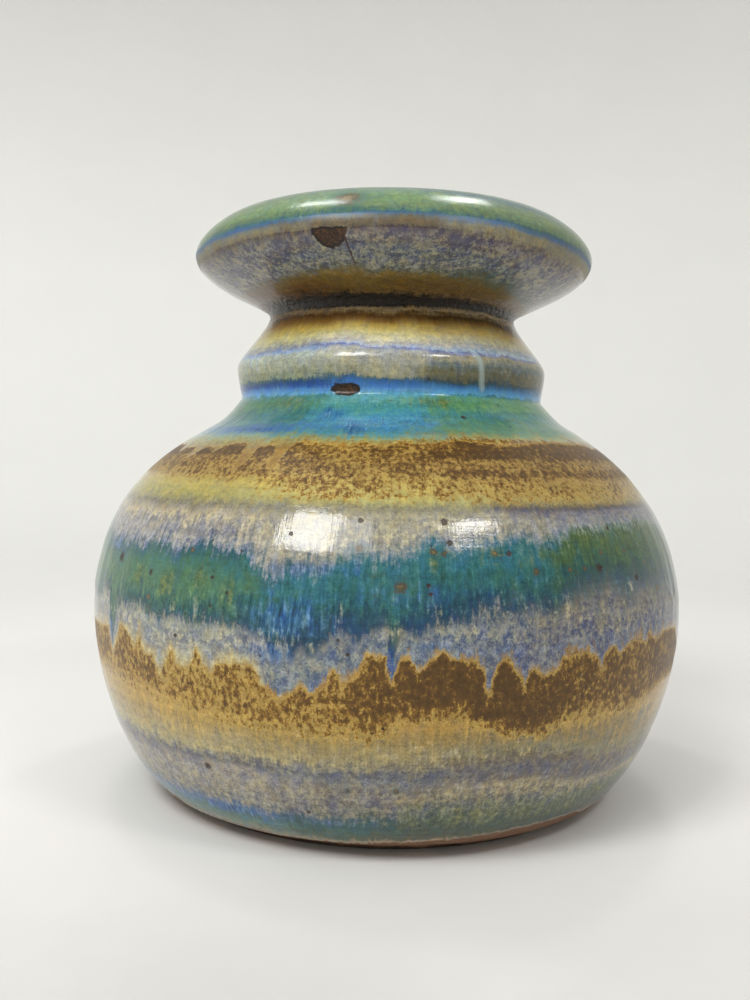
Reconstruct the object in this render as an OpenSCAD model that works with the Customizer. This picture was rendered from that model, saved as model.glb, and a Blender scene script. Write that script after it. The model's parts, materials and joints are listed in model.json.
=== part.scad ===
// Stoneware vase: thrown in sections, joined with slip, then glazed in overlapping bands.
// +Z is up, the origin is the middle of the foot on the table, and one unit is one millimetre.

/* [Body] */
// Diameter of the foot where it meets the table
foot_d = 108.4; // [104:0.2:112]
// Diameter of the belly at its widest
belly_d = 150; // [144:0.5:156]
// Height of the belly's widest line
belly_z = 46.2; // [43:0.1:50]
// Diameter of the crease where the shoulder meets the collar
crease_d = 78.2; // [77:0.2:79]
// Height of that crease
crease_z = 99; // [98:0.1:99.5]

/* [Collar and mouth] */
// Diameter of the collar's rounded roll
collar_d = 80.4; // [80:0.2:84]
// Height of the roll's widest line
collar_z = 106.7; // [106:0.1:108]
// Diameter of the neck, the narrowest line
neck_d = 63.4; // [62:0.2:66]
// Height of the neck
neck_z = 120.4; // [119.5:0.1:121]
// Diameter of the mouth's flange at its widest
flange_d = 102.6; // [99:0.2:106]
// Height of the flange's widest line
flange_z = 134.6; // [133:0.1:136]
// Diameter of the circle along the top of the lip
lip_d = 81.6; // [81:0.2:86]
// Height of the whole vase, to the top of the lip
vase_h = 144.6; // [143.5:0.1:147]

/* [Inside] */
// Clear diameter inside the lip
mouth_d = 76; // [72:0.2:78]
// Clear diameter of the throat
throat_d = 51; // [46:0.2:52]
// Thickness of the wall at the belly and at the flange, glaze included
wall = 5.7; // [5:0.1:6.5]
// Thickness of the collar's wall, glaze included
collar_wall = 6; // [5.8:0.1:8]
// Height of the inside floor above the table
floor_z = 8; // [7.5:0.1:9.5]

/* [Foot] */
// Width of the foot ring's resting face
foot_w = 7.6; // [6:0.1:9]
// Height of the hollow under the base, inside the foot ring
recess = 2.8; // [2.4:0.1:3]

/* [Clay joints] */
// Height of the raised half of each slipped seat
seat_h = 2; // [1.2:0.1:2.4]

/* [Glaze] */
// Thickness of each coat of glaze
glaze_t = 0.7; // [0.5:0.05:0.8]
// Height at which the glaze stops above the bare foot
glaze_stop_z = 3.4; // [3.2:0.1:4]
// Upper edge of the teal coat at the foot
foot_teal_z = 13.1; // [10:0.1:18]
// Upper edge of the lavender coat on the lower belly
lower_lavender_z = 29.6; // [22:0.1:34]
// Upper edge of the iron brown coat on the belly
belly_iron_z = 48.4; // [40:0.1:54]
// Upper edge of the teal coat on the belly
belly_teal_z = 65.6; // [58:0.1:70]
// Upper edge of the lavender coat on the belly
belly_lavender_z = 75.6; // [72:0.1:79]
// Upper edge of the iron brown coat on the shoulder
shoulder_iron_z = 88.6; // [82:0.1:92]
// Upper edge of the teal coat on the shoulder, just above the crease
shoulder_teal_z = 101.9; // [101.5:0.1:103]
// Upper edge of the iron brown coat round the neck
neck_iron_z = 127.3; // [123:0.1:130]
// Upper edge of the lavender coat under the flange
flange_lavender_z = 136.9; // [136.2:0.1:139]

/* [Hidden] */
$fn = 180;

foot_r = foot_d / 2;
belly_r = belly_d / 2;
crease_r = crease_d / 2;
dip_r = crease_r + 6.9;   // where the shoulder begins to turn up into the crease
dip_z = crease_z - 6.9;
collar_r = collar_d / 2;
neck_r = neck_d / 2;
flange_r = flange_d / 2;
lip_r = lip_d / 2;
mouth_r = mouth_d / 2;
throat_r = throat_d / 2;
belly_inner_r = belly_r - wall;
collar_inner_r = collar_r - collar_wall;
flange_inner_r = flange_r - wall;
lip_drop = 3.3;           // from the lip's top down to its inner edge
heel_r = foot_r - 10;     // where the inside wall has flattened into the floor
steps_per_curve = 12;

// The glazed surface is one chain of curves, from the foot's outer edge up over the lip and
// down the inside to the middle of the floor. Each curve is two ends and two handles.
surface_curves = [
    // outside: heel, shoulder, the dip into the crease, the collar's two halves, flange, lip
    [[foot_r, 0], [foot_r + 12, 4.8], [belly_r, belly_z - 17.6], [belly_r, belly_z]],
    [[belly_r, belly_z], [belly_r, belly_z + 23.4], [dip_r + 16, dip_z - 8.5], [dip_r, dip_z]],
    [[dip_r, dip_z], [dip_r - 1.9, dip_z + 1], [crease_r + 1.8, crease_z - 2.6], [crease_r, crease_z]],
    [[crease_r, crease_z], [crease_r, crease_z + 1.8], [collar_r, collar_z - 3.1], [collar_r, collar_z]],
    [[collar_r, collar_z], [collar_r, collar_z + 2.6], [neck_r + 1.1, neck_z - 4.7], [neck_r, neck_z]],
    [[neck_r, neck_z], [neck_r + 2.4, neck_z + 3.6], [flange_r, flange_z - 6.6], [flange_r, flange_z]],
    [[flange_r, flange_z], [flange_r, flange_z + 4.8], [lip_r + 1.6, vase_h], [lip_r, vase_h]],
    // inside: lip, mouth bowl, funnel, collar, belly, heel, floor
    [[lip_r, vase_h], [lip_r - 2, vase_h], [mouth_r, vase_h - 1.5], [mouth_r, vase_h - lip_drop]],
    [[mouth_r, vase_h - lip_drop], [mouth_r, vase_h - 6.1], [flange_inner_r, flange_z + 3],
     [flange_inner_r, flange_z - 1]],
    [[flange_inner_r, flange_z - 1], [flange_inner_r, flange_z - 5], [throat_r + 1.5, neck_z + 7.7],
     [throat_r, neck_z]],
    [[throat_r, neck_z], [throat_r, neck_z - 4], [collar_inner_r, collar_z + 6], [collar_inner_r, collar_z]],
    [[collar_inner_r, collar_z], [collar_inner_r - 1.2, crease_z - 19], [belly_inner_r, belly_z + 32.8],
     [belly_inner_r, belly_z]],
    [[belly_inner_r, belly_z], [belly_inner_r, belly_z - 17], [heel_r + 16, floor_z], [heel_r, floor_z]],
    [[heel_r, floor_z], [heel_r * 2 / 3, floor_z], [heel_r / 3, floor_z], [0, floor_z]]
];
NECK = 5;                 // places along the chain, counted in whole curves
LIP_TOP = 7;
LIP_INNER = 8;
THROAT = 10;
COLLAR_INNER = 11;
BELLY_INNER = 12;
FLOOR_MIDDLE = len(surface_curves);

function bezier(c, t) =
    pow(1 - t, 3) * c[0] + 3 * t * pow(1 - t, 2) * c[1] + 3 * t * t * (1 - t) * c[2] + pow(t, 3) * c[3];
function surface_at(s) =
    let (i = min(floor(s), FLOOR_MIDDLE - 1)) bezier(surface_curves[i], s - i);

// A unit vector into the clay, taken across a short stretch so that it turns gently at a crease
function into_clay(s) =
    let (reach = 0.04,
         d = surface_at(min(s + reach, FLOOR_MIDDLE)) - surface_at(max(s - reach, 0)))
    [-d[1], d[0]] / norm(d);
function under_glaze(s) =
    let (p = surface_at(s) + glaze_t * into_clay(s)) [max(p[0], 0), p[1]];

// The place between low and high at which the surface is at height z
function place_at(z, low, high, rounds = 40) =
    let (middle = (low + high) / 2,
         climbs = surface_at(high)[1] > surface_at(low)[1],
         beyond = climbs == (surface_at(middle)[1] > z))
    rounds == 0 ? middle
    : beyond ? place_at(z, low, middle, rounds - 1)
    : place_at(z, middle, high, rounds - 1);
function outside_at(z) = place_at(z, 0, LIP_TOP);

glaze_stop = outside_at(glaze_stop_z);
foot_teal_top = outside_at(foot_teal_z);
lower_lavender_top = outside_at(lower_lavender_z);
belly_iron_top = outside_at(belly_iron_z);
belly_teal_top = outside_at(belly_teal_z);
belly_lavender_top = outside_at(belly_lavender_z);
shoulder_iron_top = outside_at(shoulder_iron_z);
shoulder_teal_top = outside_at(shoulder_teal_z);
neck_iron_top = outside_at(neck_iron_z);
flange_lavender_top = outside_at(flange_lavender_z);

// The two slipped seats between clay sections: outer edge at the crease, inner edge seat_h higher
collar_seat_z = crease_z + 2;
collar_seat_out = outside_at(collar_seat_z);
collar_seat_in = place_at(collar_seat_z + seat_h, COLLAR_INNER, BELLY_INNER);
neck_seat_out = NECK;
neck_seat_in = place_at(neck_z + seat_h, LIP_INNER + 1, THROAT);

run_ends = [glaze_stop, foot_teal_top, lower_lavender_top, belly_iron_top, belly_teal_top,
            belly_lavender_top, shoulder_iron_top, collar_seat_out, shoulder_teal_top, NECK,
            neck_iron_top, flange_lavender_top, LIP_TOP, LIP_INNER, neck_seat_in, THROAT,
            collar_seat_in, BELLY_INNER, FLOOR_MIDDLE];
stations = concat(
    [for (i = [0 : len(run_ends) - 2])
        let (steps = max(2, ceil((run_ends[i + 1] - run_ends[i]) * steps_per_curve)))
        for (k = [0 : steps - 1]) run_ends[i] + (run_ends[i + 1] - run_ends[i]) * k / steps],
    [FLOOR_MIDDLE]);
function stations_between(first, last) = [for (s = stations) if (s >= first && s <= last) s];
function stations_back(first, last) =
    let (run = stations_between(first, last)) [for (i = [len(run) - 1 : -1 : 0]) run[i]];

// One coat of glaze between two places on the surface
module coat(first, last) {
    rotate_extrude()
        polygon(concat([for (s = stations_between(first, last)) surface_at(s)],
                       [for (s = stations_back(first, last)) under_glaze(s)]));
}

// The clay's own surface between two places, and the stepped line across one seat
function clay_face(first, last) = [for (s = stations_between(first, last)) under_glaze(s)];
function seat_line(out, in) =
    let (outer = under_glaze(out), inner = under_glaze(in), step_r = (outer[0] + inner[0]) / 2)
    [[step_r, outer[1]], [step_r, inner[1]]];
function reversed(list) = [for (i = [len(list) - 1 : -1 : 0]) list[i]];

foot_top = under_glaze(glaze_stop);
foot_inner_r = foot_r - foot_w;
tongue_w = foot_w / 3;    // ridge on the foot ring that keys into the base
tongue_h = 0.8;
tongue_r = foot_inner_r + foot_w / 2;
foot_line = [[tongue_r + tongue_w / 2, foot_top[1]], [tongue_r + tongue_w / 2, foot_top[1] + tongue_h],
             [tongue_r - tongue_w / 2, foot_top[1] + tongue_h], [tongue_r - tongue_w / 2, foot_top[1]]];
foot_edge = 0.8;          // rounding of the foot's outer edge, as a short slope

module foot_ring() {
    color("#c9a287") rotate_extrude()
        polygon(concat([[foot_inner_r + foot_edge, 0], [foot_r - foot_edge, 0], [foot_r, foot_edge]],
                       [foot_top], foot_line,
                       [[foot_inner_r, foot_top[1]], [foot_inner_r, foot_edge]]));
}

module belly_wall() {
    color("#bd9a80") rotate_extrude()
        polygon(concat(clay_face(glaze_stop, collar_seat_out), seat_line(collar_seat_out, collar_seat_in),
                       clay_face(collar_seat_in, FLOOR_MIDDLE),
                       [[0, recess], [foot_inner_r - 1, recess], [foot_inner_r, foot_top[1]]],
                       reversed(foot_line)));
}

module collar_ring() {
    color("#c4a086") rotate_extrude()
        polygon(concat(clay_face(collar_seat_out, neck_seat_out), seat_line(neck_seat_out, neck_seat_in),
                       clay_face(neck_seat_in, collar_seat_in),
                       reversed(seat_line(collar_seat_out, collar_seat_in))));
}

module mouth_flange() {
    color("#bd9a80") rotate_extrude()
        polygon(concat(clay_face(neck_seat_out, neck_seat_in),
                       reversed(seat_line(neck_seat_out, neck_seat_in))));
}

module foot_teal_glaze() {
    color("#6f9aa0") coat(glaze_stop, foot_teal_top);
}

module lower_lavender_glaze() {
    color("#b3a5a6") coat(foot_teal_top, lower_lavender_top);
}

module belly_iron_glaze() {
    color("#6b4f2a") coat(lower_lavender_top, belly_iron_top);
}

module belly_teal_glaze() {
    color("#6a8f8f") coat(belly_iron_top, belly_teal_top);
}

module belly_lavender_glaze() {
    color("#b5aab0") coat(belly_teal_top, belly_lavender_top);
}

module shoulder_iron_glaze() {
    color("#6e5730") coat(belly_lavender_top, shoulder_iron_top);
}

module shoulder_teal_glaze() {
    color("#4f8fa0") coat(shoulder_iron_top, shoulder_teal_top);
}

module collar_cream_glaze() {
    color("#b8a88f") coat(shoulder_teal_top, NECK);
}

module neck_iron_glaze() {
    color("#7d6238") coat(NECK, neck_iron_top);
}

module flange_lavender_glaze() {
    color("#a89a9c") coat(neck_iron_top, flange_lavender_top);
}

module rim_green_glaze() {
    color("#7c9470") coat(flange_lavender_top, LIP_INNER);
}

module mouth_inner_glaze() {
    color("#8fa08a") coat(LIP_INNER, THROAT);
}

module liner_glaze() {
    color("#a89a72") coat(THROAT, FLOOR_MIDDLE);
}

foot_ring();
belly_wall();
collar_ring();
mouth_flange();
foot_teal_glaze();
lower_lavender_glaze();
belly_iron_glaze();
belly_teal_glaze();
belly_lavender_glaze();
shoulder_iron_glaze();
shoulder_teal_glaze();
collar_cream_glaze();
neck_iron_glaze();
flange_lavender_glaze();
rim_green_glaze();
mouth_inner_glaze();
liner_glaze();
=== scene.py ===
"""Looks of the stoneware vase: relief, flowing banded glazes, bare clay, stage, lights and camera.

The outline and the coats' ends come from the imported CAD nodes. Lengths are in millimetres until a
mesh is made, and heights are above the foot. Angles run round the vase from the side that faces
-Y, positive towards +X, in degrees.
"""

import json
import math

import bmesh
import bpy
import numpy as np
from mathutils import Matrix, Vector


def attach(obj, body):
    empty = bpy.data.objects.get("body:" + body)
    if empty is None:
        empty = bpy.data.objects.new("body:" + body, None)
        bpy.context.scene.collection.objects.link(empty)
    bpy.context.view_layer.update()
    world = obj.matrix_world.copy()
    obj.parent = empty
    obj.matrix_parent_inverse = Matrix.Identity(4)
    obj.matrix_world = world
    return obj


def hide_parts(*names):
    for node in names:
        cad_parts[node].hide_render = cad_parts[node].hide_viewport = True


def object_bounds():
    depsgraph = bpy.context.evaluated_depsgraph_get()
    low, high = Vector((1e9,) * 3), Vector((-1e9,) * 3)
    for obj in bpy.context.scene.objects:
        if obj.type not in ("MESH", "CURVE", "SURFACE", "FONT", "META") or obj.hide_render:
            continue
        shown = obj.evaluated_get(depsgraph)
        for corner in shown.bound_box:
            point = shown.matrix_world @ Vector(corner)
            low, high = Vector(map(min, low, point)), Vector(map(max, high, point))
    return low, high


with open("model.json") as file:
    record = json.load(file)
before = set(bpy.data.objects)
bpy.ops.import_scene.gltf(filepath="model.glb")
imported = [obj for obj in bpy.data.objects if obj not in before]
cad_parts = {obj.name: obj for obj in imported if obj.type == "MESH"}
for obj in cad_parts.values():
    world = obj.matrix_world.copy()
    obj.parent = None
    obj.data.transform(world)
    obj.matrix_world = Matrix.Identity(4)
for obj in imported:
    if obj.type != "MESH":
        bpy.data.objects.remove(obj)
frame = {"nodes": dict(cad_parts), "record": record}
cad_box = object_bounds()

MM = .001
COLUMNS = 576              # mesh columns round the vase
ROW_STEP = .8             # along the outline, outside
INSIDE_STEP = 1.6          # along the outline, inside
COAT = .7                 # depth of a glaze coat
SHOULDER = 76              # paint height where the shoulder's colours begin
NECK = 120                 # paint height of the crease under the mouth, where its colours begin

OUTSIDE = ["foot_teal_glaze", "lower_lavender_glaze", "belly_iron_glaze", "belly_teal_glaze",
           "belly_lavender_glaze", "shoulder_iron_glaze", "shoulder_teal_glaze",
           "collar_cream_glaze", "neck_iron_glaze", "flange_lavender_glaze"]
LIP = "rim_green_glaze"
INSIDE = ["mouth_inner_glaze", "liner_glaze"]
CLAY = ["foot_ring", "belly_wall", "collar_ring", "mouth_flange"]

vase_h = cad_box[1].z / MM
belly_r = (cad_box[1].x - cad_box[0].x) / 2 / MM


# ---- outline, read off the CAD nodes

def turned_points(mesh):
    """The (radius, height) of each vertex of a mesh, in millimetres."""
    co = np.empty(len(mesh.vertices) * 3)
    mesh.vertices.foreach_get("co", co)
    co = co.reshape(-1, 3) / MM
    return np.stack([np.hypot(co[:, 0], co[:, 1]), co[:, 2]], 1)


def rings(node):
    """The (radius, height) of every ring of vertices on a CAD node, in millimetres."""
    pairs = turned_points(frame["nodes"][node].data)
    kept = []
    for pair in pairs[np.lexsort((pairs[:, 0], pairs[:, 1]))]:
        if all(np.abs(pair - k).max() > .05 for k in kept[-40:]):
            kept.append(pair)
    return np.array(kept)


def glossy_side(node, clay):
    """A coat's rings that stand clear of the clay, whose outline is given as short straight steps."""
    found = rings(node)
    start, step = clay[:, 0], clay[:, 1] - clay[:, 0]
    along_step = ((found[:, None] - start) * step).sum(2) / (step ** 2).sum(1)
    nearest = start + np.clip(along_step, 0, 1)[:, :, None] * step
    gap = np.linalg.norm(found[:, None] - nearest, axis=2).min(1)
    return found[gap > .35]


def steps_of(node):
    """The straight steps between neighbouring rings of a CAD node, in radius and height."""
    mesh = frame["nodes"][node].data
    ends = np.empty(len(mesh.edges) * 2, int)
    mesh.edges.foreach_get("vertices", ends)
    pairs = turned_points(mesh)[ends].reshape(-1, 2, 2)
    steps = np.unique(np.round(pairs, 2).reshape(-1, 4), axis=0).reshape(-1, 2, 2)
    return steps[np.linalg.norm(steps[:, 1] - steps[:, 0], axis=1) > .05]


def read_outline():
    """The glossy outline from the foot to the middle of the floor, and where each coat ends on it."""
    clay = np.concatenate([steps_of(n) for n in CLAY])
    parts = []
    for name in OUTSIDE:
        side = glossy_side(name, clay)
        parts.append((name, side[np.argsort(side[:, 1])]))
    side = glossy_side(LIP, clay)
    middle = (side.max(0) + side.min(0)) / 2 - [0, 1.5]
    turn = np.arctan2(side[:, 1] - middle[1], side[:, 0] - middle[0])
    parts.append((LIP, side[np.argsort(np.where(turn < -2, turn + 2 * np.pi, turn))]))
    for name in INSIDE:
        side = glossy_side(name, clay)
        parts.append((name, side[np.lexsort((-side[:, 0], -np.round(side[:, 1], 2)))]))
    floor = parts[-1][1]
    parts[-1] = (INSIDE[-1], np.concatenate([floor, [[0, floor[-1, 1]]]]))
    points, ends = [parts[0][1][0]], {}
    for name, side in parts:
        start = len(points) - 1
        points.extend(p for p in side if np.abs(p - points[-1]).max() > .05)
        ends[name] = (start, len(points) - 1)
    return np.array(points), ends


outline, coat_ends = read_outline()
knots = np.concatenate([[0], np.cumsum(np.linalg.norm(np.diff(outline, axis=0), axis=1))])


def along(arc):
    """Smooth (radius, height) at each distance along the outline."""
    gaps = np.diff(knots)[:, None]
    slopes = np.diff(outline, axis=0) / gaps
    tangents = np.concatenate([
        slopes[:1],
        (slopes[:-1] * gaps[1:] + slopes[1:] * gaps[:-1]) / (gaps[1:] + gaps[:-1]),
        slopes[-1:]])
    i = np.clip(np.searchsorted(knots, arc, side="right") - 1, 0, len(knots) - 2)
    gap = gaps[i]
    t = (arc[:, None] - knots[i][:, None]) / gap
    return (outline[i] * (1 + 2 * t) * (1 - t) ** 2 + tangents[i] * gap * t * (1 - t) ** 2
            + outline[i + 1] * t * t * (3 - 2 * t) - tangents[i + 1] * gap * t * t * (1 - t))


def row_plan():
    """Distances along the outline of every row of vertices, and each coat's first and last row."""
    arcs, spans = [0.0], {}
    for name in OUTSIDE + [LIP] + INSIDE:
        low, high = (knots[k] for k in coat_ends[name])
        count = math.ceil((high - low) / (INSIDE_STEP if name in INSIDE else ROW_STEP))
        first = len(arcs) - 1
        arcs.extend(low + (high - low) * np.arange(1, count + 1) / count)
        spans[name] = (first, len(arcs) - 1)
    return np.array(arcs), spans


def soften(rows, radius, height, reach):
    """Rounds the outline where it comes nearest to one place, as glaze pools in a crease."""
    share = np.exp(-(np.hypot(rows[:, 0] - radius, rows[:, 1] - height) / reach) ** 2)[:, None]
    for _ in range(2):
        near = rows.copy()
        near[1:-1] = (rows[:-2] + rows[1:-1] + rows[2:]) / 3
        rows = rows + share * (near - rows)
    return rows


arcs, row_spans = row_plan()
rows_rz = along(arcs)
outer_rows = rows_rz[(np.abs(rows_rz[:, 1] - NECK) < 8) & (arcs < arcs[-1] / 2)]
neck_r, neck_z = outer_rows[np.argmin(outer_rows[:, 0])]
rows_rz = soften(rows_rz, neck_r, neck_z, 1.4)
lip_arc = arcs[np.argmax(rows_rz[:, 1])]
degrees = np.arange(COLUMNS) * 360 / COLUMNS
degrees = np.where(degrees > 180, degrees - 360, degrees)
DEG, ARC = np.meshgrid(degrees, arcs)
RADIUS = np.repeat(rows_rz[:, :1], COLUMNS, 1)
HEIGHT = np.repeat(rows_rz[:, 1:], COLUMNS, 1)
is_outside = ARC <= lip_arc


# ---- fields over the surface

def smooth_step(value, low, high):
    t = np.clip((value - low) / (high - low), 0, 1)
    return t * t * (3 - 2 * t)


def lattice(cells_round, size, seed):
    """Smooth noise from -1 to 1: so many cells round the vase, each size millimetres up the outline."""
    rng = np.random.default_rng(seed)
    u = (DEG % 360) / 360 * cells_round
    v = ARC / size
    grid = rng.uniform(-1, 1, (int(v.max()) + 2, cells_round))
    i, j = np.floor(v).astype(int), np.floor(u).astype(int) % cells_round
    s, t = u - np.floor(u), v - i
    s, t = s * s * (3 - 2 * s), t * t * (3 - 2 * t)
    k = (j + 1) % cells_round
    low = grid[i, j] * (1 - s) + grid[i, k] * s
    high = grid[i + 1, j] * (1 - s) + grid[i + 1, k] * s
    return low * (1 - t) + high * t


def round_line(points, back_height, back_spread, seed, step=2.4):
    """A wandering edge round the vase: listed (degrees, height) points on the front, then
    seeded ones of the same kind over the back."""
    rng = np.random.default_rng(seed)
    front = np.array(points, float)
    degs = np.arange(front[-1, 0] + 4, front[0, 0] + 356, step)
    heights = back_height + back_spread * rng.uniform(-1, 1, len(degs)) * rng.uniform(.2, 1, len(degs))
    all_deg = np.concatenate([front[:, 0], degs])
    all_height = np.concatenate([front[:, 1], heights])
    return np.interp(DEG, all_deg, all_height, period=360)


def patches(spots):
    """The strongest of several soft ovals (degrees, height, half width, half height, strength)."""
    best = np.zeros_like(DEG)
    for deg, height, half_deg, half_height, strength in spots:
        turn = (DEG - deg + 180) % 360 - 180
        oval = strength * np.exp(-(turn / half_deg) ** 2 - ((HEIGHT - height) / half_height) ** 2)
        best = np.maximum(best, oval * is_outside)
    return best


# Where the lower iron coat stops against the glaze above it: fingers and valleys of the runs
IRON_EDGE = [
    (-68, 45), (-60, 45.5), (-57, 46), (-55, 40), (-52.5, 44), (-51.5, 47), (-49, 46.5), (-46, 43),
    (-44.5, 45.5), (-43, 42), (-41, 42.5), (-39.3, 38), (-37, 42.5), (-35.8, 45), (-35, 41.5),
    (-33, 41), (-31.5, 42.5), (-30.6, 46), (-29.5, 43), (-28, 40.5), (-26.7, 43), (-22, 43.5),
    (-20.2, 43.5), (-19, 40), (-16.2, 37.3), (-13.5, 39), (-12.2, 40.5), (-11, 38.5), (-8.6, 41),
    (-7.8, 44), (-7, 43), (-6, 40.5), (-3.5, 44), (-2.5, 47.5), (-1, 46.5), (0, 47), (.5, 45),
    (1, 40.5), (1.5, 42), (2.2, 46.5), (4, 46.5), (4.7, 44), (5.3, 43.5), (6.5, 45.5), (8.8, 48.2),
    (10, 46.5), (13.8, 46), (15, 44), (16, 37.5), (17, 44), (17.8, 46), (19, 46.3), (20, 43.5),
    (21.3, 42), (22, 39), (22.7, 43.5), (24, 43.5), (25, 42), (28, 43.5), (28.7, 46), (34, 46.2),
    (36, 44.5), (36.8, 42), (37.5, 45.5), (39.5, 47), (41, 45), (45.5, 47.5), (49.5, 46),
    (50.1, 49.5), (51, 47.5), (54, 46), (56, 47.5), (60, 47.5), (65, 47)]
# Lower and upper edges of the teal coat on the belly
TEAL_LOW = [
    (-62, 52.5), (-57, 53), (-56, 50), (-55, 41), (-54, 44), (-52.5, 50), (-50, 51.5), (-45, 52),
    (-43, 51), (-42, 49), (-40, 50.5), (-35, 51), (-25, 51), (-20, 50), (-18, 48), (-17, 45),
    (-16, 47), (-15, 47), (-14, 45), (-12.5, 47.5), (-11, 46), (-9, 48), (-7, 50), (-4, 50), (0, 52),
    (.5, 49), (1, 42), (1.6, 48), (3, 51), (5, 51), (7, 53), (10, 53), (14, 54.5), (25, 54),
    (28, 53), (30, 55), (35, 56), (50, 56.5), (60, 56)]
TEAL_HIGH = [
    (-62, 65), (-50, 65.3), (-40, 66.5), (-38, 64), (-33.8, 65.5), (-31, 66.5), (-26, 65), (-22, 65),
    (-21, 63), (-15, 61.5), (-10, 63), (-6, 65), (-3, 66), (0, 65), (3, 66), (6, 68), (8, 69),
    (10, 67), (14, 68), (18, 68.5), (24, 69), (27, 68), (30, 69.5), (34, 70.5), (46, 71), (58, 71.5),
    (66, 70)]
# Upper edge of the iron coat on the shoulder: blobs on the left, one long stripe on the right
SHOULDER_EDGE = [
    (-61, 85), (-60, 86.5), (-54, 86.7), (-53, 84), (-51.5, 84.5), (-49, 86.7), (-45, 86.3),
    (-43.5, 85), (-42.5, 87), (-40, 87.6), (-34.8, 87.4), (-34, 84), (-32.6, 80.5), (-31.2, 84),
    (-30.6, 87), (-27, 87.3), (-25.6, 86), (-25, 82.5), (-23.5, 83), (-22.5, 87), (-21, 88.2),
    (-18, 87.6), (-12, 87.6), (-10, 86.3), (-7, 88), (-1, 87.3), (2, 88.4), (8, 88), (16, 88.6),
    (30, 88), (40, 88.6), (60, 88.5)]
# Lower edge of all glaze, above the bare clay
GLAZE_STOP = [(-45, 2.8), (-30, 3), (-20, 3.2), (-10, 3.6), (0, 4), (10, 4.6), (20, 5.2), (30, 5.8), (45, 6)]

iron_edge = round_line(IRON_EDGE, 44.5, 3.5, 11)
teal_low = np.maximum(round_line(TEAL_LOW, 52, 2.6, 12), iron_edge + 1.2)
teal_high = round_line(TEAL_HIGH, 67.5, 2.2, 13)
shoulder_edge = round_line(SHOULDER_EDGE, 87.6, 1.0, 14)
glaze_stop = round_line(GLAZE_STOP, 4, .8, 15, step=20)


def round_values(*pairs):
    """Values given at a few angles, joined smoothly round the vase."""
    degs, values = zip(*pairs)
    return np.interp(DEG, degs, values, period=360)


def paint_height():
    """The height at which each point takes its colour: real heights, moved so that every wandering
    edge lands on one standard height, then carried on over the lip and down the inside."""
    droop = np.where(DEG < 0, 2.2, 3.2) * np.sin(np.radians(DEG)) ** 2 * smooth_step(HEIGHT, 119, 125)
    droop *= 1 - smooth_step(np.abs(DEG), 120, 180) * .5
    slant = 4 * smooth_step(DEG, 24, 50) * (1 - smooth_step(DEG, 90, 150))
    slant *= smooth_step(HEIGHT, 12, 18) * (1 - smooth_step(HEIGHT, 24, 31))
    ripple = np.interp(HEIGHT, [100, 104, 112, 117, 119, 122, 126, 130, 134, 145],
                       [0, .6, 1, .7, .3, .4, 1.1, .6, .3, .3])
    ripple *= lattice(26, 9, 16) + .5 * lattice(60, 9, 17)
    real = HEIGHT + droop + slant + ripple
    stops = [np.full_like(DEG, 34.0), iron_edge, teal_low, teal_high, np.full_like(DEG, 74.5)]
    marks = [34.0, 48.0, 52.0, 66.0, 74.5]
    moved = real.copy()
    for i in range(4):
        inside = (real >= stops[i]) & (real < stops[i + 1])
        share = (real - stops[i]) / np.maximum(stops[i + 1] - stops[i], .1)
        moved = np.where(inside, marks[i] + share * (marks[i + 1] - marks[i]), moved)
    return np.where(is_outside, np.minimum(moved, vase_h), vase_h + ARC - lip_arc)


def iron_dose():
    """How much iron lies on each point, from 0 for none to 1 for dark brown."""
    darkness = round_values(
        (-65, .6), (-57, .55), (-50, .64), (-40, .52), (-30, .52), (-20, .54), (-12, .58), (-6, .64),
        (-1.5, .84), (5, .98), (14, 1.02), (22, 1), (29, .86), (36, .74), (50, .78), (62, .8), (110, .6),
        (160, .95), (215, .55), (260, .8))
    full = round_values(
        (-60, 39), (-50, 40), (-40, 37), (-20, 35), (-6, 35), (5, 38), (12, 38.5), (16, 36), (20, 34),
        (26, 33), (31, 37), (45, 35), (60, 38), (120, 37), (200, 40), (260, 36))
    gone = round_values(
        (-60, 29), (-40, 28), (-20, 26), (-2, 25.5), (4, 31), (13, 31), (18, 28), (26, 26.5), (34, 29),
        (45, 28), (60, 32), (120, 29), (200, 31), (260, 28))
    belly = smooth_step(iron_edge - HEIGHT, 0.0, 1.5) * darkness * smooth_step(HEIGHT, gone, full)
    left = 1 - smooth_step(DEG, -30, -18)
    right = smooth_step(DEG, 4, 16)
    stripes_right = np.interp(HEIGHT, [74, 77, 80.4, 81, 82, 82.6, 84, 84.8, 88, 90],
                              [0, .3, .42, .7, .68, .5, .5, .86, .92, .92])
    stripes_left = np.interp(HEIGHT, [76, 79, 80.5, 83, 84.2, 84.8, 88], [0, .15, .46, .56, .6, .88, .9])
    stripes_middle = np.interp(HEIGHT, [74.5, 77, 80, 82, 86, 88], [0, .34, .44, .56, .62, .62])
    stripes = (stripes_left * left * (1 - right) + stripes_right * right
               + stripes_middle * (1 - left) * (1 - right))
    shoulder = smooth_step(shoulder_edge - HEIGHT, 0.0, .9) * stripes * (HEIGHT > 70)
    return np.where(is_outside, np.maximum(belly * (HEIGHT < 60), shoulder), 0)


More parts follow.
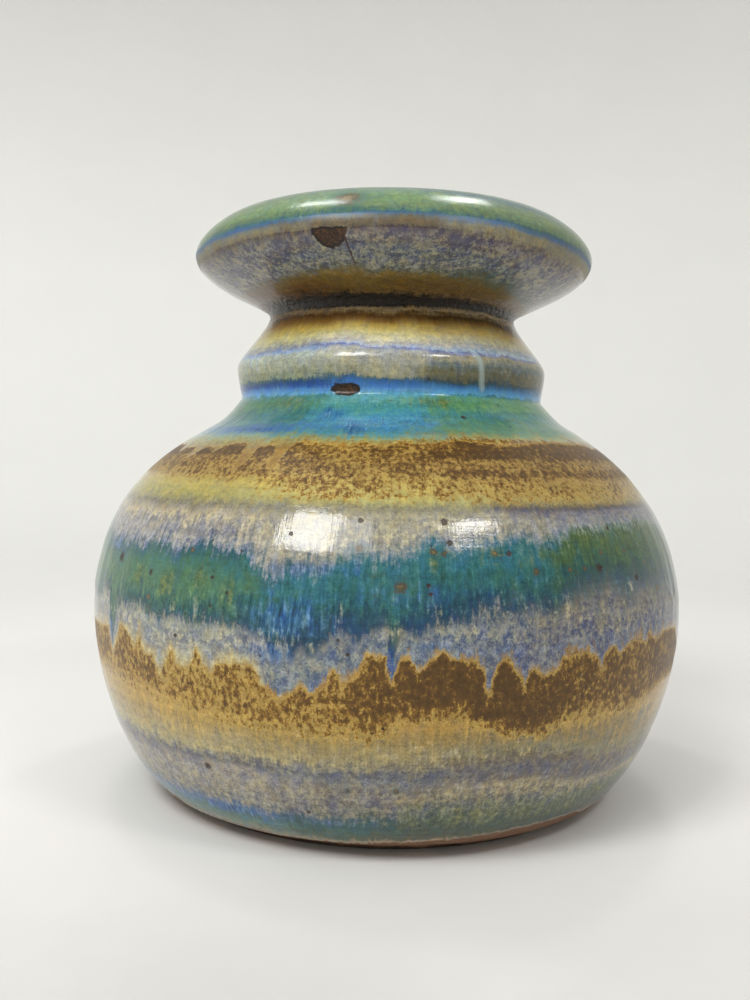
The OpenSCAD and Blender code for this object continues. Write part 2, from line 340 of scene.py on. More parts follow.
paint = paint_height()
iron = iron_dose()
blue = patches([
    (-17, 94, 6, 2.2, .8), (-9, 90.5, 5, 2, .7), (-38, 90.3, 13, .8, .9), (6, 93.3, 12, .5, .6),
    (33, 94, 9, 1.5, .4), (-14, 53, 9, 5.5, .8), (-17, 46, 5, 3, .8), (-58, 63.5, 5, 2.5, .8),
    (.9, 45, .7, 4, 1), (-30, 9, 9, 1.6, .9), (-13, 9.5, 9, 1.5, .5), (-42, 7, 8, 2, .3),
    (8, 48.5, 5, 1.2, .7), (21, 46, 1.2, 3, .7), (25, 47.5, 20, 1, .5), (-12, 62.5, 9, 2, .8),
    (-55.5, 45, 1.2, 4, .8), (-39, 42, 1.2, 3, .7), (5, 58, 22, 3, .45), (24, 61, 12, 2, .3),
    (40, 60.5, 18, 2, .3), (120, 94, 20, 2, .8), (165, 52, 12, 5, .9), (-120, 60, 14, 4, .7),
    (200, 9, 20, 2, .8), (-150, 92, 14, 1.5, .8), (95, 60, 8, 3, .6), (-95, 46, 4, 4, .7),
    (140, 20, 16, 2, .5), (-40, 128, 20, 3, .2)])
moss = patches([
    (15, 97, 11, 1.8, .8), (-35, 97, 12, 1.8, .6), (-38, 57, 2, 4, .8), (-46, 58, 2.5, 3, .7),
    (-31, 60, 2, 4, .7), (-25, 58, 1.6, 4, .7), (17.5, 66, 3, 3, .7), (24, 65, 5, 3, .5),
    (8, 65, 2, 3, .6), (-18, 8, 4, 2, .4), (30, 96, 12, 2, .4), (-13, 8, 3, 3, .5), (12, 12, 14, 3, .4),
    (110, 66, 16, 4, .8), (-140, 97, 20, 2, .8), (-100, 12, 25, 4, .6), (170, 97, 15, 2, .7),
    (-165, 62, 12, 4, .6), (110, 12, 30, 3, .5)])
frost = patches([
    (30, 54, 20, 4, .4), (-22, 48, 18, 2.5, .6), (47, 56, 14, 4, .4), (12, 51, 8, 2, .5),
    (1, 51, 2.5, 2, .8), (-50, 49, 8, 2, .6), (4, 70.5, 22, 3, .4), (-35, 47.5, 8, 3, .5),
    (-45, 72, 18, 1.5, .5), (10, 27, 26, 4, .4), (20, 19, 22, 3, .4), (-15, 24, 20, 2, .3),
    (150, 50, 30, 3, .7), (-120, 49, 30, 3, .7), (-150, 70, 40, 3, .6), (120, 72, 30, 2, .5),
    (180, 25, 80, 3, .5), (17, 56.5, 1, 2.5, .8), (29.7, 55, .8, 3, 1), (45.5, 58.5, .8, 2, .8),
    (-31, 53, .8, 5, .7), (-36, 53, .9, 4, .6), (-6.6, 53, .7, 4, .6), (7.8, 55, 1.2, 2, .6)])
# How far the glaze ran, by height
RUN = [
    (0, .3), (6, .8), (10, 1.3), (20, 1.2), (22, .6), (24, .9), (30, 1.5), (34, .8), (44, .5), (50, 1.2),
    (54, 2.2), (60, 2), (66, 1.5), (71, 1.2), (73.5, .5), (75, .3), (77, .4), (82, .6), (88, .6), (91, .9),
    (98, .5), (99.2, .2), (102, .35), (104, .5), (108, .2), (111, .2), (115, .15), (118, .25), (122, .3),
    (126, .35), (128, .5), (131, .35), (133, .15), (134, .2), (136.5, .35), (139, .35), (143, .3)]
run = np.where(is_outside, np.interp(HEIGHT, *zip(*RUN)), 1.6)
# Where the middle of the front gives way to its left and right, in degrees by height
LEFT_CENTRE = [(0, -16), (45, -20), (60, -21), (74, -24), (84, -26), (100, -20), (120, -25), (144, -25)]
RIGHT_CENTRE = [
    (0, 1), (14, 2), (25, 12), (45, 12), (52, 22), (60, 27), (72, 28), (75, 16), (84, 10), (144, 14)]
left_centre = np.interp(HEIGHT, *zip(*LEFT_CENTRE))
right_centre = np.interp(HEIGHT, *zip(*RIGHT_CENTRE))
left_side = smooth_step(left_centre - DEG, -13, 13) * (1 - smooth_step(-DEG, 105, 150))
right_side = np.maximum(smooth_step(DEG - right_centre, -13, 13), smooth_step(-DEG, 105, 150))


# ---- relief

CRATERS = [                # degrees, height, half width and half height in mm, height of the flat top
    (-15.8, 133.2, 3.9, 3.4, 133.5), (-14.6, 99.9, 3.2, 1.6, 101)]
DRIP = [(27.5, 109.6), (29.5, 108.2), (30.6, 106.6), (31.2, 105), (31.8, 102.4), (32.5, 100)]
CRACK = [(-11.6, 133.6), (-12, 131.6), (-11.6, 130), (-11.2, 128.4), (-10.6, 127)]


def crater_distance():
    """Millimetres outside the nearest crater's rim, negative within it."""
    nearest = np.full_like(DEG, 9.0)
    for deg, height, half_width, half_height, top in CRATERS:
        across = (DEG - deg) * np.pi / 180 * RADIUS / half_width
        up = (HEIGHT - height) / half_height
        nearest = np.minimum(nearest, np.maximum((np.hypot(across, up) - 1) * half_height, HEIGHT - top))
    return np.where(is_outside, nearest, 9.0)


def line_distance(points):
    """Signed millimetres to the right of a nearly upright line, carried straight on past its ends."""
    line = np.array(sorted(points, key=lambda p: p[1]), float)
    deg = np.interp(HEIGHT, line[:, 1], line[:, 0])
    return np.where(is_outside, np.clip((DEG - deg) * np.pi / 180 * RADIUS, -9, 9), 9.0)


crater = crater_distance()
drip = line_distance(DRIP)
drip_length = smooth_step(HEIGHT, 99.6, 101) * (1 - smooth_step(HEIGHT, 108, 109.6))
crack = line_distance(CRACK)


def relief():
    """Millimetres that each point stands off the even outline."""
    wobble = .22 * lattice(4, 45, 21) + .1 * lattice(9, 22, 22)
    throwing = .05 * lattice(2, 2.1, 23) + .07 * lattice(3, 5.0, 24)
    runs = run * (.035 * lattice(150, 12, 25) + .05 * lattice(64, 20, 26))
    bead = .12 * np.exp(-((HEIGHT - teal_low - .6) / 1.2) ** 2) * is_outside
    drip_ridge = .25 * np.exp(-(drip / 1.0) ** 2) * drip_length
    lean = np.interp(HEIGHT, [76, 86, 91, 96, 101, 108, 145], [0, .4, .6, .6, .3, .2, .2]) * is_outside
    bowl = -.38 * (1 - smooth_step(crater, -1.3, .15)) + .12 * np.exp(-((crater - .35) / .35) ** 2)
    rough = .09 * lattice(420, .9, 27) * (crater < 0) * (HEIGHT < 110)
    inside_quiet = np.where(is_outside, 1, .6) * np.clip(RADIUS / 20, 0, 1)
    lean *= np.sin(np.radians(DEG))
    return (wobble + throwing + runs) * inside_quiet + lean + bead + drip_ridge + bowl + rough


offset = relief()


def surface(rise):
    """The grid of points with that relief, in metres."""
    edge = np.gradient(rows_rz, arcs, axis=0)
    edge /= np.linalg.norm(edge, axis=1)[:, None]
    out_r, out_z = edge[:, 1][:, None], -edge[:, 0][:, None]
    r = np.maximum(RADIUS + rise * out_r, 0)
    angle = np.radians(DEG)
    return np.stack([r * np.sin(angle), -r * np.cos(angle), HEIGHT + rise * out_z], -1) * MM


grid = surface(offset)
across = np.roll(grid, -1, 1) - np.roll(grid, 1, 1)
upward = np.gradient(grid, arcs, axis=0)
normals = np.cross(across, upward)
length = np.linalg.norm(normals, axis=-1, keepdims=True)
normals = np.where(length > 1e-12, normals / np.maximum(length, 1e-12), [0, 0, 1])
back_grid = surface(offset - COAT)


# ---- meshes

def quads(first, second):
    """Faces between two closed rings of vertex indices."""
    return np.stack([first, np.roll(first, -1), np.roll(second, -1), second], 1)


def put(name, data):
    """A new object in the scene."""
    made = bpy.data.objects.new(name, data)
    bpy.context.scene.collection.objects.link(made)
    return made


def smooth_mesh(name, points, faces):
    mesh = bpy.data.meshes.new(name)
    mesh.from_pydata(points, [], faces)
    mesh.polygons.foreach_set("use_smooth", np.ones(len(mesh.polygons), bool))
    return mesh


def build_coat(name):
    """One glaze coat as a closed shell: glossy face, the face on the clay, and its two edges."""
    first, last = row_spans[name]
    front_rows = np.arange(first, last + 1)
    back_rows = np.unique(np.append(front_rows[::4 if name in INSIDE else 1], last))
    closed = RADIUS[last, 0] < .01
    points = np.concatenate([grid[front_rows].reshape(-1, 3), back_grid[back_rows].reshape(-1, 3)])
    ring = np.arange(len(points)).reshape(-1, COLUMNS)
    front, back = ring[:len(front_rows)], ring[len(front_rows):]
    faces = [quads(front[i], front[i + 1]) for i in range(len(front) - 1)]
    shown = len(faces) * COLUMNS
    faces += [quads(back[i + 1], back[i]) for i in range(len(back) - 1)]
    faces.append(quads(back[0], front[0]))
    if not closed:
        faces.append(quads(front[-1], back[-1]))
    faces = np.concatenate(faces)
    mesh = smooth_mesh(name + "_skin", points.tolist(), faces.tolist())
    add_fields(mesh, front_rows, back_rows)
    grid_normals = np.concatenate([normals[front_rows].reshape(-1, 3), -normals[back_rows].reshape(-1, 3)])
    corner_normals = grid_normals[faces]
    p = points[faces]
    flat = np.cross(p[:, 2] - p[:, 0], p[:, 3] - p[:, 1])
    flat /= np.maximum(np.linalg.norm(flat, axis=1, keepdims=True), 1e-15)
    edge_from = shown + (len(back) - 1) * COLUMNS
    corner_normals[edge_from:] = flat[edge_from:, None]
    mesh.normals_split_custom_set(corner_normals.reshape(-1, 3).tolist())
    piece = put(name + "_skin", mesh)
    if closed:
        close_middle(piece)
    return piece


def close_middle(piece):
    """Joins the ring of points at the middle of the floor into one."""
    work = bmesh.new()
    work.from_mesh(piece.data)
    middle = [v for v in work.verts if math.hypot(v.co.x, v.co.y) < 1e-6]
    bmesh.ops.remove_doubles(work, verts=middle, dist=1e-6)
    work.to_mesh(piece.data)
    work.free()


def add_fields(mesh, front_rows, back_rows):
    """Stores the fields that the glaze shader reads, three to an attribute."""
    angle = np.radians(DEG)
    fields = {
        "flow": (np.sin(angle) * belly_r, -np.cos(angle) * belly_r, ARC),
        "layout": (paint, left_side, right_side),
        "dose": (iron, blue, moss),
        "touch": (frost, run, HEIGHT - glaze_stop + 50 * ~is_outside),
        "marks": (crater, crack, drip)}
    for name, parts in fields.items():
        values = np.stack(parts, -1)
        values = np.concatenate([values[front_rows].reshape(-1, 3), values[back_rows].reshape(-1, 3)])
        attribute = mesh.attributes.new(name, "FLOAT_VECTOR", "POINT")
        attribute.data.foreach_set("vector", values.astype(np.float32).ravel())


# ---- shader calls

def linear(colour):
    """An sRGB colour in 0 to 255 as linear RGBA."""
    shares = [c / 255 for c in colour]
    return [s / 12.92 if s <= .04045 else ((s + .055) / 1.055) ** 2.4 for s in shares] + [1]


class Shader:
    """Adds nodes to one tree. Each call returns the new node's output."""

    def __init__(self, tree):
        self.tree = tree

    def node(self, kind, **settings):
        made = self.tree.nodes.new("ShaderNode" + kind)
        for key, value in settings.items():
            setattr(made, key, value)
        return made

    def feed(self, socket, value):
        if isinstance(value, bpy.types.NodeSocket):
            self.tree.links.new(value, socket)
        else:
            socket.default_value = value

    def math(self, operation, a, b=0.0, c=0.0):
        made = self.node("Math", operation=operation)
        for socket, value in zip(made.inputs, (a, b, c)):
            self.feed(socket, value)
        return made.outputs[0]

    def add(self, *values):
        total = values[0]
        for value in values[1:]:
            total = self.math("ADD", total, value)
        return total

    def times(self, a, b):
        return self.math("MULTIPLY", a, b)

    def swing(self, noise, amount):
        """Noise in 0 to 1, as a swing of that amount to either side of nothing."""
        return self.math("MULTIPLY_ADD", noise, 2 * amount, -amount)

    def rise(self, value, low, high, most=1.0):
        made = self.node("MapRange", interpolation_type="SMOOTHSTEP")
        for key, given in (("Value", value), ("From Min", low), ("From Max", high), ("To Max", most)):
            self.feed(made.inputs[key], given)
        return made.outputs["Result"]

    def near(self, value, middle, low, high, most=1.0):
        """A smooth step over the distance of a value from the middle one."""
        return self.rise(self.math("ABSOLUTE", self.math("SUBTRACT", value, middle)), low, high, most)

    def attribute(self, name):
        return self.node("Attribute", attribute_name=name).outputs["Vector"]

    def parts(self, vector):
        made = self.node("SeparateXYZ")
        self.feed(made.inputs[0], vector)
        return made.outputs

    def stretch(self, vector, factors):
        made = self.node("VectorMath", operation="MULTIPLY")
        self.feed(made.inputs[0], vector)
        self.feed(made.inputs[1], factors)
        return made.outputs[0]

    def noise(self, vector, size, detail=2.0, roughness=.5, distortion=0.0):
        made = self.node("TexNoise")
        self.feed(made.inputs["Vector"], vector)
        for key, value in (("Scale", 1 / size), ("Detail", detail), ("Roughness", roughness),
                           ("Distortion", distortion)):
            made.inputs[key].default_value = value
        return made.outputs["Fac"]

    def cells(self, vector, size):
        made = self.node("TexVoronoi")
        self.feed(made.inputs["Vector"], vector)
        made.inputs["Scale"].default_value = 1 / size
        return made

    def ramp(self, value, stops):
        """A colour from stops of (place, red, green, blue); value is in the stops' own units."""
        low, high = stops[0][0], stops[-1][0]
        made = self.node("ValToRGB")
        self.feed(made.inputs[0], self.math("MULTIPLY_ADD", value, 1 / (high - low), -low / (high - low)))
        elements = made.color_ramp.elements
        while len(elements) < len(stops):
            elements.new(1.0)
        for element, (place, *colour) in zip(elements, stops):
            element.position = (place - low) / (high - low)
            element.color = linear(colour)
        return made.outputs["Color"]

    def mix(self, amount, under, over, blend_type="MIX"):
        made = self.node("Mix", data_type="RGBA", blend_type=blend_type)
        for socket, value in ((made.inputs[0], amount), (made.inputs[6], under), (made.inputs[7], over)):
            if isinstance(value, tuple):
                value = linear(value)
            self.feed(socket, value)
        return made.outputs[2]


# ---- glaze

def greys(*pairs):
    """Stops of grey from (place, level) pairs."""
    return [(place, level, level, level) for place, level in pairs]


# The coats' colours by paint height, on the left, middle and right of the front
BODY_STOPS = {
    "left": [
        (0, 110, 85, 68), (3.2, 120, 100, 85), (4, 150, 150, 138), (5.5, 104, 132, 118),
        (7.5, 92, 128, 132), (9.5, 78, 115, 158), (11, 128, 130, 132), (13, 148, 144, 128),
        (17, 152, 147, 136), (20.2, 140, 136, 134), (21.4, 108, 108, 106), (22.6, 136, 132, 116),
        (24, 172, 162, 120), (27, 168, 152, 106), (31, 178, 152, 88), (36, 178, 144, 74),
        (47, 178, 156, 98), (48.3, 192, 180, 130), (49.4, 152, 156, 152), (51.4, 152, 158, 146),
        (52.4, 44, 84, 92), (54.5, 62, 108, 98), (58, 86, 124, 92), (62, 70, 118, 98), (65, 50, 98, 110),
        (66.3, 128, 136, 144), (68, 158, 157, 156), (70.5, 160, 157, 150), (72.2, 200, 188, 155),
        (73.6, 142, 136, 116), (76, 176, 170, 108)],
    "middle": [
        (0, 110, 85, 68), (3.2, 140, 108, 85), (4, 155, 150, 130), (5, 86, 106, 90), (8, 64, 102, 102),
        (10.5, 74, 105, 118), (12, 118, 117, 116), (15, 132, 128, 119), (18, 138, 132, 117),
        (20, 110, 114, 114), (21.8, 104, 106, 107), (23, 134, 128, 106), (25, 160, 149, 108),
        (28, 158, 141, 90), (31, 166, 140, 80), (36, 166, 130, 64), (47, 172, 136, 70),
        (47.9, 176, 150, 92), (48.5, 96, 116, 132), (49.6, 92, 112, 128), (51.2, 132, 139, 135),
        (52.3, 34, 70, 98), (55, 36, 80, 98), (58, 48, 103, 100), (61, 50, 110, 115),
        (64.5, 62, 122, 132), (66, 118, 138, 142), (68, 158, 157, 145), (71, 178, 174, 150),
        (73, 172, 166, 138), (74.2, 148, 144, 118), (76, 188, 182, 118)],
    "right": [
        (0, 110, 85, 68), (3.2, 150, 112, 85), (4.5, 170, 142, 112), (5.3, 92, 95, 78), (8, 80, 94, 80),
        (11, 96, 106, 76), (14, 104, 112, 86), (16, 132, 126, 101), (18.5, 154, 144, 112),
        (20.5, 114, 108, 103), (22.5, 104, 103, 106), (24.5, 118, 108, 92), (27, 144, 138, 106),
        (29, 146, 129, 86), (31.5, 178, 150, 82), (36, 170, 132, 68), (47, 146, 112, 62),
        (47.9, 170, 142, 86), (48.5, 84, 98, 128), (49.6, 92, 100, 118), (51.6, 124, 120, 112),
        (53.6, 92, 102, 104), (56, 60, 88, 92), (58.3, 52, 88, 74), (60, 66, 98, 66), (64.5, 80, 106, 64),
        (66, 106, 128, 116), (67.5, 138, 144, 148), (72.5, 128, 127, 138), (74.2, 102, 98, 108),
        (74.9, 118, 110, 90), (76, 166, 152, 96)]}
# In these stops the pale line at about 118.6 to 119.4, under the dark crease band, is partly pale tan glaze
# and partly a painted highlight along the crease.
SHOULDER_STOPS = {
    "left": [
        (76, 176, 170, 108), (79, 186, 172, 100), (81, 168, 136, 70), (84, 165, 132, 66),
        (87.5, 156, 148, 98), (88.8, 140, 158, 126), (89.8, 92, 138, 155), (90.8, 76, 122, 162),
        (92, 66, 124, 128), (94, 64, 118, 118), (96.4, 80, 126, 92), (98.2, 68, 126, 124),
        (99, 100, 155, 192), (99.9, 84, 140, 192), (100.5, 34, 88, 158), (101.4, 28, 76, 130),
        (102.1, 66, 100, 108), (102.7, 142, 152, 128), (104.5, 156, 160, 136), (107, 168, 176, 162),
        (107.9, 172, 182, 173), (108.8, 134, 160, 192), (109.6, 125, 134, 156), (110.6, 164, 165, 146),
        (112.5, 188, 182, 128), (114.5, 176, 158, 88), (116, 136, 104, 48), (117.8, 82, 56, 27),
        (118.6, 120, 98, 62), (119.2, 132, 112, 76), (119.7, 52, 40, 26), (120, 38, 30, 20)],
    "middle": [
        (76, 188, 182, 118), (79, 200, 184, 102), (82, 178, 146, 72), (87, 163, 128, 60),
        (88.2, 156, 158, 105), (89.2, 90, 150, 152), (91, 74, 134, 166), (93, 76, 146, 172),
        (95.5, 76, 142, 138), (97.5, 96, 152, 152), (98.8, 92, 156, 172), (99.8, 100, 155, 196),
        (100.7, 62, 124, 184), (101.7, 48, 104, 156), (102.4, 72, 106, 118), (103, 148, 146, 120),
        (104.5, 160, 160, 136), (107, 164, 163, 146), (108.9, 170, 174, 170), (109.3, 122, 130, 176),
        (109.8, 172, 184, 200), (110.6, 176, 174, 168), (111.5, 198, 194, 168), (113, 200, 192, 138),
        (115, 184, 164, 92), (116.4, 136, 104, 54), (117.5, 92, 66, 32), (118.2, 116, 94, 58),
        (118.9, 166, 146, 106), (119.4, 128, 110, 76), (119.8, 42, 32, 20), (120, 34, 26, 16)],
    "right": [
        (76, 166, 152, 96), (78, 186, 160, 80), (81.5, 148, 108, 46), (85, 118, 78, 28),
        (88.3, 134, 100, 44), (88.9, 168, 158, 105), (90, 112, 146, 116), (92, 86, 134, 112),
        (94, 76, 132, 126), (96, 92, 142, 100), (98.2, 94, 144, 108), (98.9, 60, 126, 132),
        (99.5, 102, 166, 196), (100.3, 84, 152, 196), (101.3, 52, 108, 148), (102, 44, 74, 80),
        (102.7, 98, 100, 78), (104.5, 106, 103, 74), (106, 102, 117, 116), (108, 152, 146, 120),
        (108.8, 116, 126, 162), (109.4, 160, 178, 192), (110.8, 168, 170, 166), (112.3, 190, 184, 148),
        (114, 180, 160, 100), (116, 122, 96, 48), (117, 66, 48, 24), (117.9, 112, 94, 58),
        (118.8, 160, 142, 106), (119.4, 124, 106, 76), (119.8, 42, 32, 20), (120, 34, 26, 16)]}
MOUTH_STOPS = {
    "left": [
        (120, 38, 30, 20), (121.9, 34, 26, 16), (122.9, 82, 60, 36), (124, 100, 72, 40),
        (126, 106, 86, 54), (127, 98, 96, 92), (128, 104, 104, 106), (131, 108, 106, 110),
        (133, 98, 92, 81), (133.5, 90, 77, 62), (134, 128, 120, 96), (135.2, 122, 122, 106),
        (136.2, 62, 102, 142), (137, 66, 106, 108), (137.9, 98, 124, 88), (140, 112, 142, 98),
        (143, 116, 142, 102), (144.3, 112, 142, 112)],
    "middle": [
        (120, 34, 26, 16), (122.4, 34, 26, 16), (123, 112, 90, 52), (126.3, 120, 100, 54),
        (127.2, 80, 88, 82), (128.2, 104, 106, 108), (130.5, 120, 119, 116), (133.1, 98, 86, 88),
        (133.5, 68, 54, 44), (133.9, 112, 100, 78), (135, 110, 98, 74), (136, 92, 98, 90),
        (136.6, 68, 102, 132), (137.3, 72, 110, 100), (138.5, 110, 132, 98), (141, 116, 147, 100),
        (143, 112, 142, 108), (144.3, 106, 136, 120)],
    "right": [
        (120, 34, 26, 16), (121.9, 40, 30, 20), (123.1, 112, 90, 54), (125.3, 114, 96, 60),
        (126.5, 76, 92, 84), (127.5, 102, 104, 104), (130, 108, 106, 106), (131.8, 92, 80, 86),
        (132.5, 78, 62, 57), (133.4, 136, 126, 98), (135.1, 140, 136, 112), (136.1, 76, 108, 138),
        (136.9, 66, 100, 108), (137.3, 92, 117, 90), (139.5, 110, 132, 86), (142, 102, 127, 100),
        (143.2, 78, 112, 117), (144.3, 92, 126, 111)]}
INSIDE_STOPS = [
    (0, 108, 138, 112), (3, 112, 140, 98), (8, 132, 138, 100), (14, 152, 148, 110), (20, 146, 128, 80),
    (28, 112, 84, 44), (34, 78, 58, 32), (40, 88, 68, 42), (50, 138, 128, 96), (80, 150, 144, 116),
    (140, 128, 128, 108), (190, 96, 108, 100), (260, 88, 104, 98)]
IRON_STOPS = [
    (.1, 182, 166, 104), (.3, 174, 148, 78), (.45, 152, 120, 52), (.57, 130, 96, 38),
    (.68, 108, 78, 28), (.82, 90, 63, 22), (1.1, 76, 52, 18)]
BLUE_STOPS = [(.3, 22, 52, 104), (.45, 40, 88, 146), (.55, 62, 112, 160), (.7, 104, 144, 182)]
# A faint change of hue, cooler or warmer, laid over everything with soft light
TINGE_STOPS = [(.3, 92, 108, 170), (.5, 128, 128, 128), (.7, 176, 150, 96)]
# Milky glass that separates into cream and blue-violet curds, and how much of it there is by height
CURD_STOPS = [
    (.3, 92, 94, 132), (.4, 122, 120, 142), (.48, 150, 148, 150), (.56, 172, 168, 150),
    (.7, 206, 200, 172)]
CURD_AMOUNT = greys(
    (0, 0), (8.5, 0), (13, 130), (20, 120), (26, 70), (33, 0), (47, 0), (48.5, 150), (51.5, 130), (53, 25),
    (64, 20), (68, 120), (73, 110), (75, 0), (102, 0), (105, 60), (109, 90), (111, 70), (114, 0),
    (126, 0), (128, 170), (132, 160), (134, 50), (136, 0))
# A grey multiplier by height, set by how the light falls: darker where the surface faces up
# into the lamps, lighter under the flange, to even out the light and shade in the listed colours
TONE_STOPS = greys(
    (0, 240), (20, 252), (31, 244), (40, 236), (60, 230), (72, 214), (84, 208), (88, 226), (97, 236),
    (101, 232), (105, 232), (110, 236), (114, 236), (117, 250), (130, 248), (135, 236), (139, 226),
    (143, 220), (150, 228), (330, 235))
# Heights at the middle of the drip, the crack, the neck's crease, the rim's blue line and the rim
DRIP_MIDDLE, CRACK_MIDDLE, CREASE_MIDDLE, BLUE_LINE, RIM_MIDDLE = 105, 130.3, 120.4, 135.2, 141
# Chips, pinholes and ringed spots that stand out: degrees, height, radius in mm
DARK_SPOTS = [
    (-15.7, 69, .5), (-4.3, 72, .6), (9.6, 72, .9), (10.1, 68, .8), (6.5, 60, .55), (6.8, 58.3, .6),
    (-54.3, 61, 1.3), (-43, 59, .7), (-28.6, 59.6, .5), (-28.2, 54, .5), (-35, 47, .55), (-5.3, 46.6, .5),
    (-6.8, 49.2, .45), (37.5, 62.5, 1.1), (43, 70.3, .7), (20, 66, .7), (47.5, 59.8, .9), (-31.5, 19.3, 1),
    (-12.8, 12, .5), (.1, 32, .45), (22, 93.4, .9), (6.2, 96.3, .5), (13, 97, .55), (.3, 97, .5)]
WARM_SPOTS = [
    (-4.2, 66.6, 1.3), (7.4, 66.3, .9), (9.2, 66, .9), (2.3, 59.6, 1.6), (24.5, 62.5, 1), (31, 62.5, .8),
    (34.2, 62.5, .8), (38.8, 65.5, .9), (45.5, 65.5, .8), (51.5, 62.5, .9), (-33.8, 64.5, .8),
    (54.5, 57, 1.2), (2.5, 18.3, .7), (-5.5, 18, .6), (-42.5, 54, .9), (17.5, 66, .7), (-12.1, 140.6, 3.6)]


def place(deg, height):
    """A point on the even outline, in millimetres."""
    outside = knots < lip_arc
    radius = np.interp(height, outline[outside][:, 1], outline[outside][:, 0])
    angle = math.radians(deg)
    return (radius * math.sin(angle), -radius * math.cos(angle), height)


def spots(sh, where, listed, wander):
    """How far inside the nearest listed spot a point is: 1 at its middle, 0 at its rim and beyond."""
    most = None
    for deg, height, radius in listed:
        away = sh.node("VectorMath", operation="DISTANCE")
        sh.feed(away.inputs[0], where)
        sh.feed(away.inputs[1], place(deg, height))
        share = sh.math("MULTIPLY_ADD", away.outputs["Value"], -1 / radius, 1.0)
        most = share if most is None else sh.math("MAXIMUM", most, share)
    return sh.add(most, wander)


def by_side(sh, value, stops, left, right):
    """A colour from the middle's stops, giving way to the left's and the right's."""
    colour = sh.ramp(value, stops["middle"])
    colour = sh.mix(left, colour, sh.ramp(value, stops["left"]))
    return sh.mix(right, colour, sh.ramp(value, stops["right"]))


